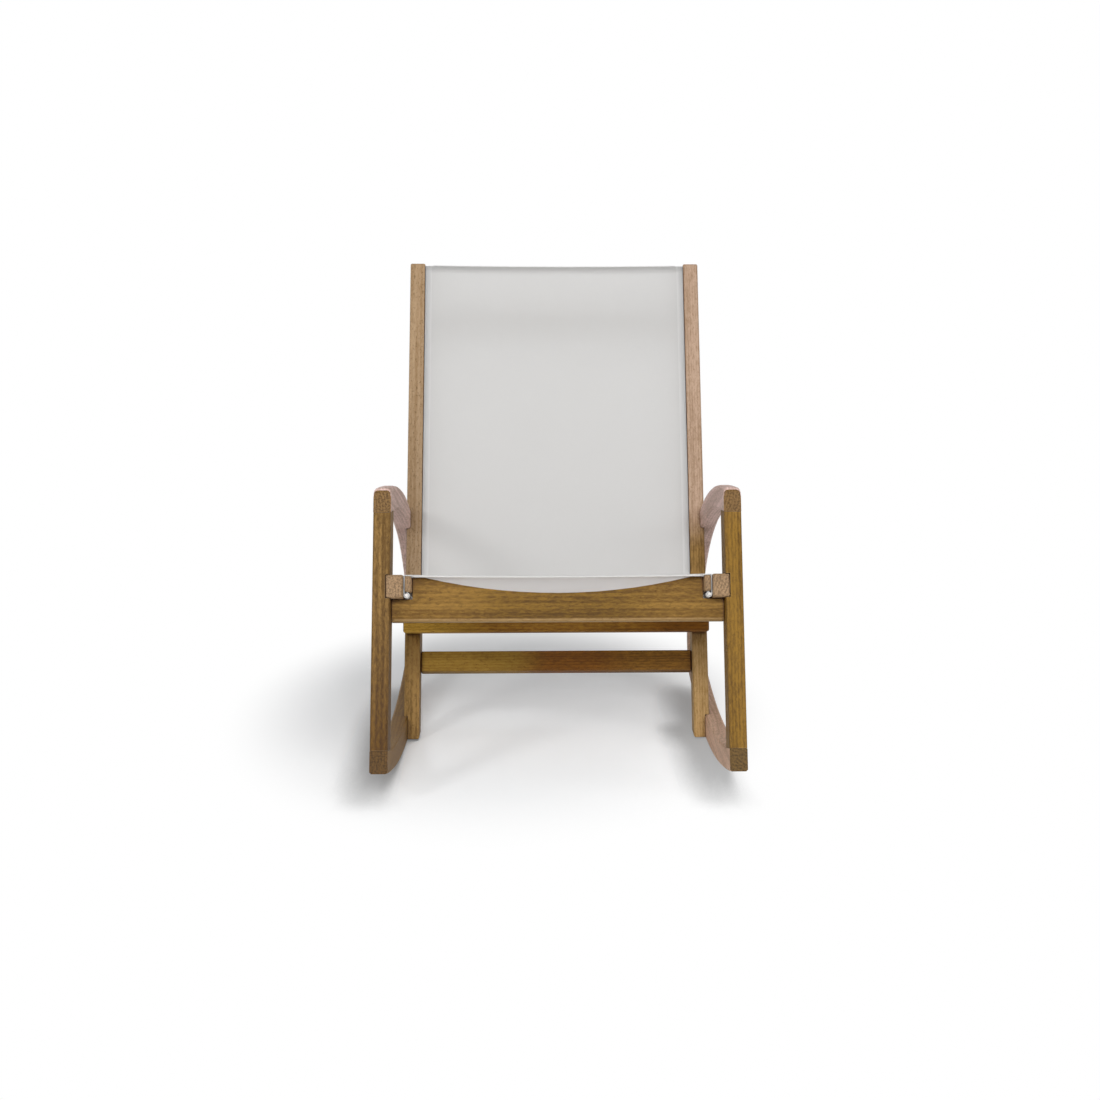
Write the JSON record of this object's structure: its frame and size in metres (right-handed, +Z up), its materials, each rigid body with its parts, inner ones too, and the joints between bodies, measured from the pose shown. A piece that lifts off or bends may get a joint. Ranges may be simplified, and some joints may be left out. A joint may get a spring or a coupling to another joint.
{
  "type": "rocking chair",
  "caption": "Outdoor rocking chair with wooden side loops that join arms and rockers, a slanted inner frame and a cloth sling clamped along its rails.",
  "frame": {"origin": "middle of the bounding box in plan, at floor level", "axes": "+Z up, +X to the right as seen from the front, -Y towards the front of the chair"},
  "size_m": [0.63, 0.9509, 0.8988],
  "materials": {
    "wood": "oiled, streaky grain",
    "sling_cloth": "woven mesh, matte",
    "rod_plastic": "smooth",
    "steel": "plated"
  },
  "bodies": {
    "root": {"front_rail": "wood", "left_arm": "wood", "left_arm_bolt": "steel", "left_arm_bolt_nut": "steel", "left_arm_tenon": "wood", "left_back_batten": "wood", "left_back_post": "wood", "left_back_rod": "rod_plastic", "left_back_screw_1": "steel", "left_back_screw_2": "steel", "left_back_screw_3": "steel", "left_coach_screw": "steel", "left_front_leg": "wood", "left_heel": "wood", "left_leg_bolt": "steel", "left_leg_bolt_nut": "steel", "left_rear_bar_screw": "steel", "left_rocker": "wood", "left_rocker_bolt": "steel", "left_rocker_bolt_nut": "steel", "left_rocker_tenon": "wood", "left_seat_batten": "wood", "left_seat_rail": "wood", "left_seat_rod": "rod_plastic", "left_seat_screw_1": "steel", "left_seat_screw_2": "steel", "left_upper_bar_screw": "steel", "lower_stretcher": "wood", "rear_seat_bar": "wood", "right_arm": "wood", "right_arm_bolt": "steel", "right_arm_bolt_nut": "steel", "right_arm_tenon": "wood", "right_back_batten": "wood", "right_back_post": "wood", "right_back_rod": "rod_plastic", "right_back_screw_1": "steel", "right_back_screw_2": "steel", "right_back_screw_3": "steel", "right_coach_screw": "steel", "right_front_leg": "wood", "right_heel": "wood", "right_leg_bolt": "steel", "right_leg_bolt_nut": "steel", "right_rear_bar_screw": "steel", "right_rocker": "wood", "right_rocker_bolt": "steel", "right_rocker_bolt_nut": "steel", "right_rocker_tenon": "wood", "right_seat_batten": "wood", "right_seat_rail": "wood", "right_seat_rod": "rod_plastic", "right_seat_screw_1": "steel", "right_seat_screw_2": "steel", "right_upper_bar_screw": "steel", "sling": "sling_cloth", "upper_back_bar": "wood"}
  },
  "joints": []
}
